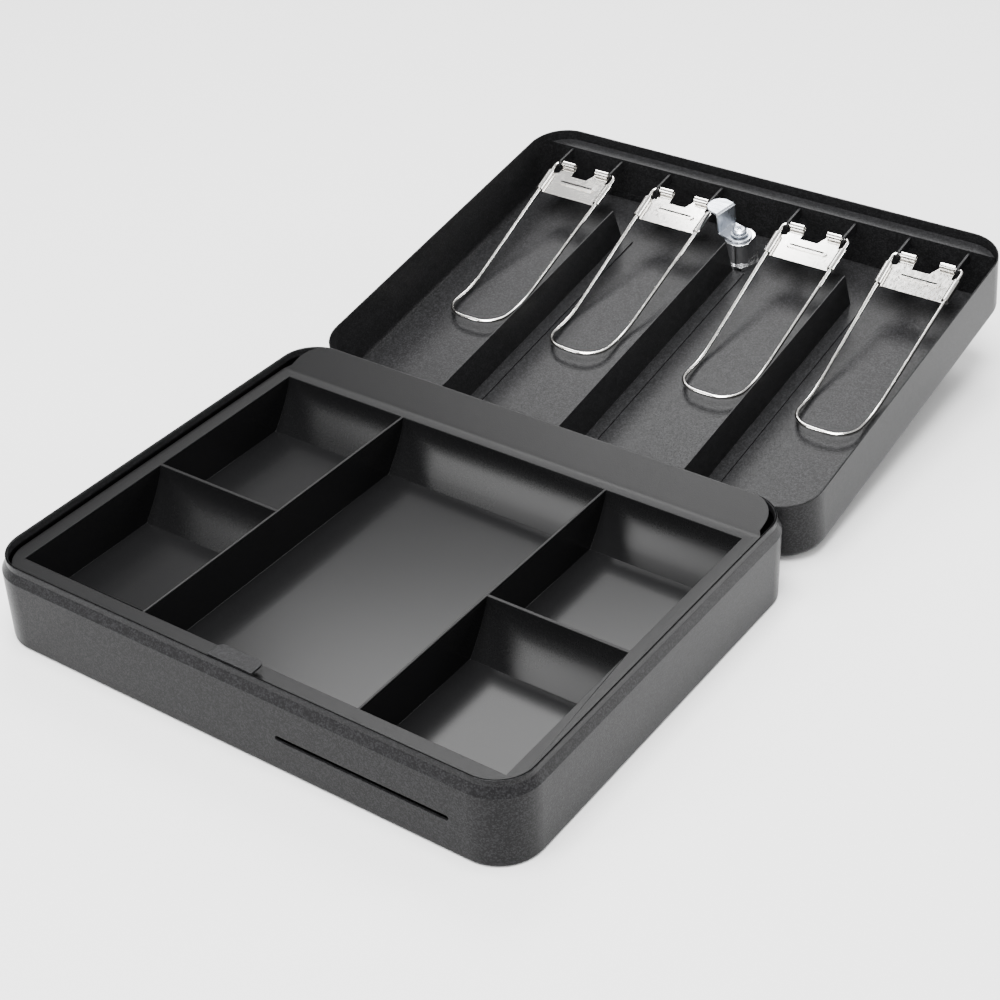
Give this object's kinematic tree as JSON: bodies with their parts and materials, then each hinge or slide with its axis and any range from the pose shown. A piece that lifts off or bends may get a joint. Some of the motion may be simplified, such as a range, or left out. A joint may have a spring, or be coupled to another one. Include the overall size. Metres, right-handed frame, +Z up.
{
  "type": "cash box",
  "caption": "Black steel cash box, open, with a lift-out coin tray in the case, sprung note clips and dividers in the hinged lid, and a cam lock.",
  "frame": {"origin": "middle of the open box's footprint, on the surface that it stands on", "axes": "+X along the front, +Y from the case's front to the open lid, +Z up"},
  "size_m": [0.3, 0.4855, 0.0775],
  "materials": {
    "powder_coat": "fine sandy matt black powder coat",
    "black_plastic": "satin moulded",
    "nickel": "bright nickel plate",
    "chrome": "polished",
    "zinc": "zinc plate with drawn scratches"
  },
  "bodies": {
    "case": {"base_shell": "powder_coat", "catch_plate": "powder_coat", "base_hinge_leaf": "powder_coat", "hinge_pin": "zinc", "base_rivet_1": "zinc", "base_rivet_2": "zinc", "base_rivet_3": "zinc", "base_rivet_4": "zinc"},
    "lid": {"lid_shell": "powder_coat", "lid_hinge_leaf": "powder_coat", "clip_rail": "powder_coat", "divider_1": "powder_coat", "divider_2": "powder_coat", "divider_3": "powder_coat", "lock_barrel": "chrome", "lock_nut": "chrome", "lid_rivet_1": "zinc", "lid_rivet_2": "zinc", "lid_rivet_3": "zinc", "lid_rivet_4": "zinc"},
    "tray": {"coin_tray": "black_plastic"},
    "lock_core": {"lock_plug": "chrome", "lock_cam": "zinc", "cam_washer": "zinc", "cam_screw": "zinc"},
    "clip_1": {"clip_wire_1": "nickel", "clip_plate_1": "nickel"},
    "clip_2": {"clip_wire_2": "nickel", "clip_plate_2": "nickel"},
    "clip_3": {"clip_wire_3": "nickel", "clip_plate_3": "nickel"},
    "clip_4": {"clip_wire_4": "nickel", "clip_plate_4": "nickel"}
  },
  "joints": [
    {"name": "lid_hinge", "type": "hinge", "parent": "case", "child": "lid", "pos_m": [0, -0.00107, 0.03769], "axis": [-1, 0, 0], "range_deg": [-170, 0]},
    {"name": "tray_tilt", "type": "hinge", "parent": "case", "child": "tray", "pos_m": [0, -0.23822, 0.0405], "axis": [1, 0, 0], "range_deg": [0, 22]},
    {"name": "clip_1_lift", "type": "hinge", "parent": "lid", "child": "clip_1", "pos_m": [-0.1115, 0.21716, 0.06408], "axis": [-1, 0, 0], "range_deg": [0, 70], "stiffness_Nm_per_rad": 0.03, "springref_deg": -34.38},
    {"name": "clip_2_lift", "type": "hinge", "parent": "lid", "child": "clip_2", "pos_m": [-0.043, 0.21716, 0.06408], "axis": [-1, 0, 0], "range_deg": [0, 28], "stiffness_Nm_per_rad": 0.03, "springref_deg": -34.38},
    {"name": "clip_3_lift", "type": "hinge", "parent": "lid", "child": "clip_3", "pos_m": [0.043, 0.21716, 0.06408], "axis": [-1, 0, 0], "range_deg": [0, 70], "stiffness_Nm_per_rad": 0.03, "springref_deg": -34.38},
    {"name": "clip_4_lift", "type": "hinge", "parent": "lid", "child": "clip_4", "pos_m": [0.1115, 0.21716, 0.06408], "axis": [-1, 0, 0], "range_deg": [0, 70], "stiffness_Nm_per_rad": 0.03, "springref_deg": -34.38},
    {"name": "lock_turn", "type": "hinge", "parent": "lid", "child": "lock_core", "pos_m": [0, 0.20386, 0.07158], "axis": [0, 0.1736, -0.9848], "range_deg": [0, 75]}
  ]
}
